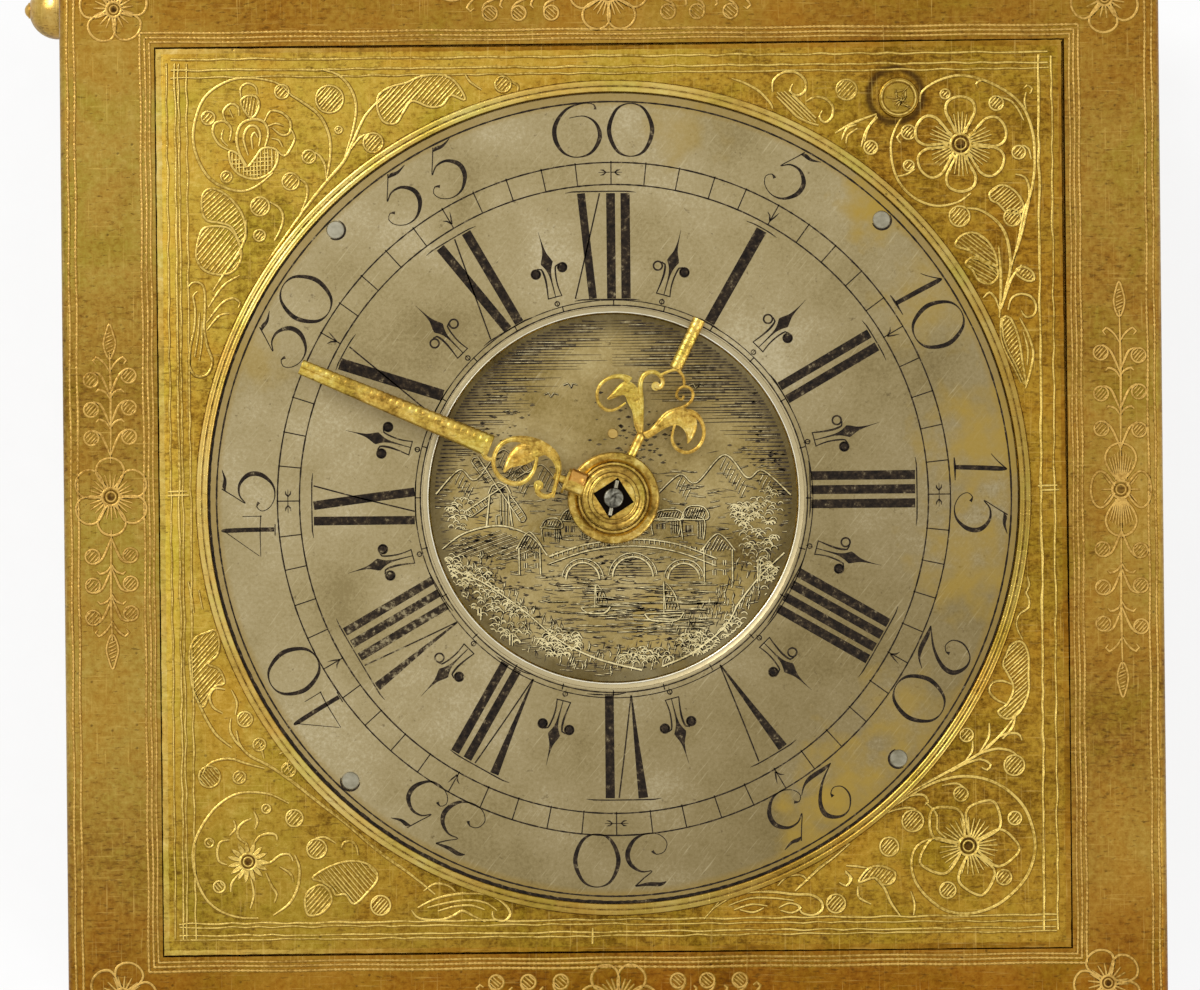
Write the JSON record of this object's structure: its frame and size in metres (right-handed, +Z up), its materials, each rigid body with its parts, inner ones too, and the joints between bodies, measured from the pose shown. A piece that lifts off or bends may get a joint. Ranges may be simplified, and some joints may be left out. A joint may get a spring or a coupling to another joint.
{
  "type": "table clock",
  "caption": "Square horizontal table clock with an engraved gilt top, silvered chapter ring, two hands, glazed sides and a hinged base.",
  "frame": {"origin": "on the table plane, at the middle of the plinth's footprint, under the centre arbor", "axes": "+Z up, +Y towards the dial's twelve (the hinge side), +X towards its three"},
  "size_m": [0.1382, 0.1307, 0.0924],
  "materials": {
    "gilt_brass": "worn fire-gilt brass, engraved and punched",
    "silvered_brass": "matt silvered brass with black-filled engraving",
    "brass": "turned and polished brass",
    "steel": "polished and blued steel",
    "glass": "clear old window glass"
  },
  "bodies": {
    "base": {"plinth": "gilt_brass", "base_plate": "gilt_brass", "base_screws": "steel", "hinge_lugs": "gilt_brass", "hinge_pin": "steel", "finial": "gilt_brass", "catch_spring": "steel", "catch_screws": "steel"},
    "button": {"catch_button": "gilt_brass", "button_clip": "brass"},
    "case": {"case_panels": "gilt_brass", "cornice": "gilt_brass", "top_frame": "gilt_brass", "window_bezels": "gilt_brass", "window_panes": "glass", "pane_clips": "brass", "hinge_leaf": "gilt_brass", "hinge_leaf_screws": "steel", "strike": "gilt_brass", "dial_plate": "gilt_brass", "dial_screws": "steel", "dial_plug": "gilt_brass", "dial_feet": "gilt_brass", "chapter_ring": "silvered_brass", "ring_rim": "gilt_brass", "ring_pins": "steel", "centre_disc": "silvered_brass", "centre_rivet": "brass", "top_plate": "gilt_brass", "back_plate": "gilt_brass", "pillars": "gilt_brass", "taper_pins": "steel", "minute_stud": "steel", "counter_potence": "gilt_brass", "potence": "gilt_brass", "plate_screws": "steel", "balance_cock": "gilt_brass", "click_spring": "steel", "spring_stud": "brass"},
    "minute_hand_arbor": {"centre_arbor": "steel", "cannon_pinion": "steel", "friction_spring": "brass", "minute_hand": "gilt_brass", "hand_pin": "steel"},
    "hour_wheel_and_hand": {"hour_wheel": "brass", "hour_hand": "gilt_brass"},
    "minute_wheel_body": {"minute_wheel": "brass"},
    "going_barrel": {"barrel": "brass", "mainspring": "steel"},
    "winding_arbor": {"barrel_arbor": "steel", "ratchet_wheel": "steel"},
    "click_body": {"click": "steel"},
    "centre_train": {"centre_pinion": "steel", "centre_wheel": "brass"},
    "third_train": {"third_wheel": "brass"},
    "contrate_train": {"contrate_wheel": "brass"},
    "crown_train": {"crown_wheel": "brass"},
    "balance": {"verge_staff": "steel", "balance_wheel": "gilt_brass", "balance_spring": "steel"}
  },
  "joints": [
    {"name": "case_hinge", "type": "hinge", "parent": "base", "child": "case", "pos_m": [0, 0.0619, 0.0165], "axis": [-1, 0, 0], "range_deg": [0, 95], "deforming": ["catch_spring"]},
    {"name": "catch_button_push", "type": "slide", "parent": "base", "child": "button", "axis": [0, 1, 0], "range_m": [0, 0.0012], "stiffness_N_per_m": 500, "springref_m": -0.001},
    {"name": "minute_hand_turn", "type": "hinge", "parent": "case", "child": "minute_hand_arbor", "pos_m": [0, 0, 0.07], "axis": [0, 0, -1], "continuous": true},
    {"name": "hour_hand_turn", "type": "hinge", "parent": "case", "child": "hour_wheel_and_hand", "pos_m": [0, 0, 0.08], "axis": [0, 0, -1], "continuous": true},
    {"name": "minute_wheel_turn", "type": "hinge", "parent": "case", "child": "minute_wheel_body", "pos_m": [0.006, -0.01039, 0.075], "axis": [0, 0, -1], "continuous": true},
    {"name": "crown_wheel_turn", "type": "hinge", "parent": "case", "child": "crown_train", "pos_m": [0.02224, 0.014, 0.04826], "axis": [-0.866, 0.5, 0], "continuous": true},
    {"name": "contrate_wheel_turn", "type": "hinge", "parent": "case", "child": "contrate_train", "pos_m": [0.02224, 0.014, 0.045], "axis": [0, 0, 1], "continuous": true},
    {"name": "third_wheel_turn", "type": "hinge", "parent": "case", "child": "third_train", "pos_m": [0.01576, 0.00278, 0.045], "axis": [0, 0, 1], "continuous": true},
    {"name": "centre_wheel_turn", "type": "hinge", "parent": "case", "child": "centre_train", "pos_m": [0, 0, 0.05], "axis": [0, 0, 1], "continuous": true},
    {"name": "barrel_turn", "type": "hinge", "parent": "case", "child": "going_barrel", "pos_m": [-0.01697, -0.01697, 0.05], "axis": [0, 0, 1], "continuous": true},
    {"name": "winding_turn", "type": "hinge", "parent": "case", "child": "winding_arbor", "pos_m": [-0.01697, -0.01697, 0.05], "axis": [0, 0, 1], "continuous": true},
    {"name": "click_lift", "type": "hinge", "parent": "case", "child": "click_body", "pos_m": [-0.00616, -0.01304, 0.033], "axis": [0, 0, -1], "range_deg": [0, 8], "stiffness_Nm_per_rad": 0.0002, "springref_deg": -5.73, "deforming": ["click_spring"]},
    {"name": "balance_swing", "type": "hinge", "parent": "case", "child": "balance", "pos_m": [0.00561, 0.0236, 0.028], "axis": [0, 0, 1], "range_deg": [-50, 50], "deforming": ["balance_spring"]}
  ],
  "couplings": [
    {"joint": "hour_hand_turn", "follows": "minute_hand_turn", "ratio": 0.083333},
    {"joint": "minute_wheel_turn", "follows": "minute_hand_turn", "ratio": -0.33333},
    {"joint": "crown_wheel_turn", "follows": "contrate_wheel_turn", "ratio": -7},
    {"joint": "third_wheel_turn", "follows": "contrate_wheel_turn", "ratio": -0.125},
    {"joint": "centre_wheel_turn", "follows": "contrate_wheel_turn", "ratio": 0.013889},
    {"joint": "barrel_turn", "follows": "contrate_wheel_turn", "ratio": -0.0019841}
  ]
}
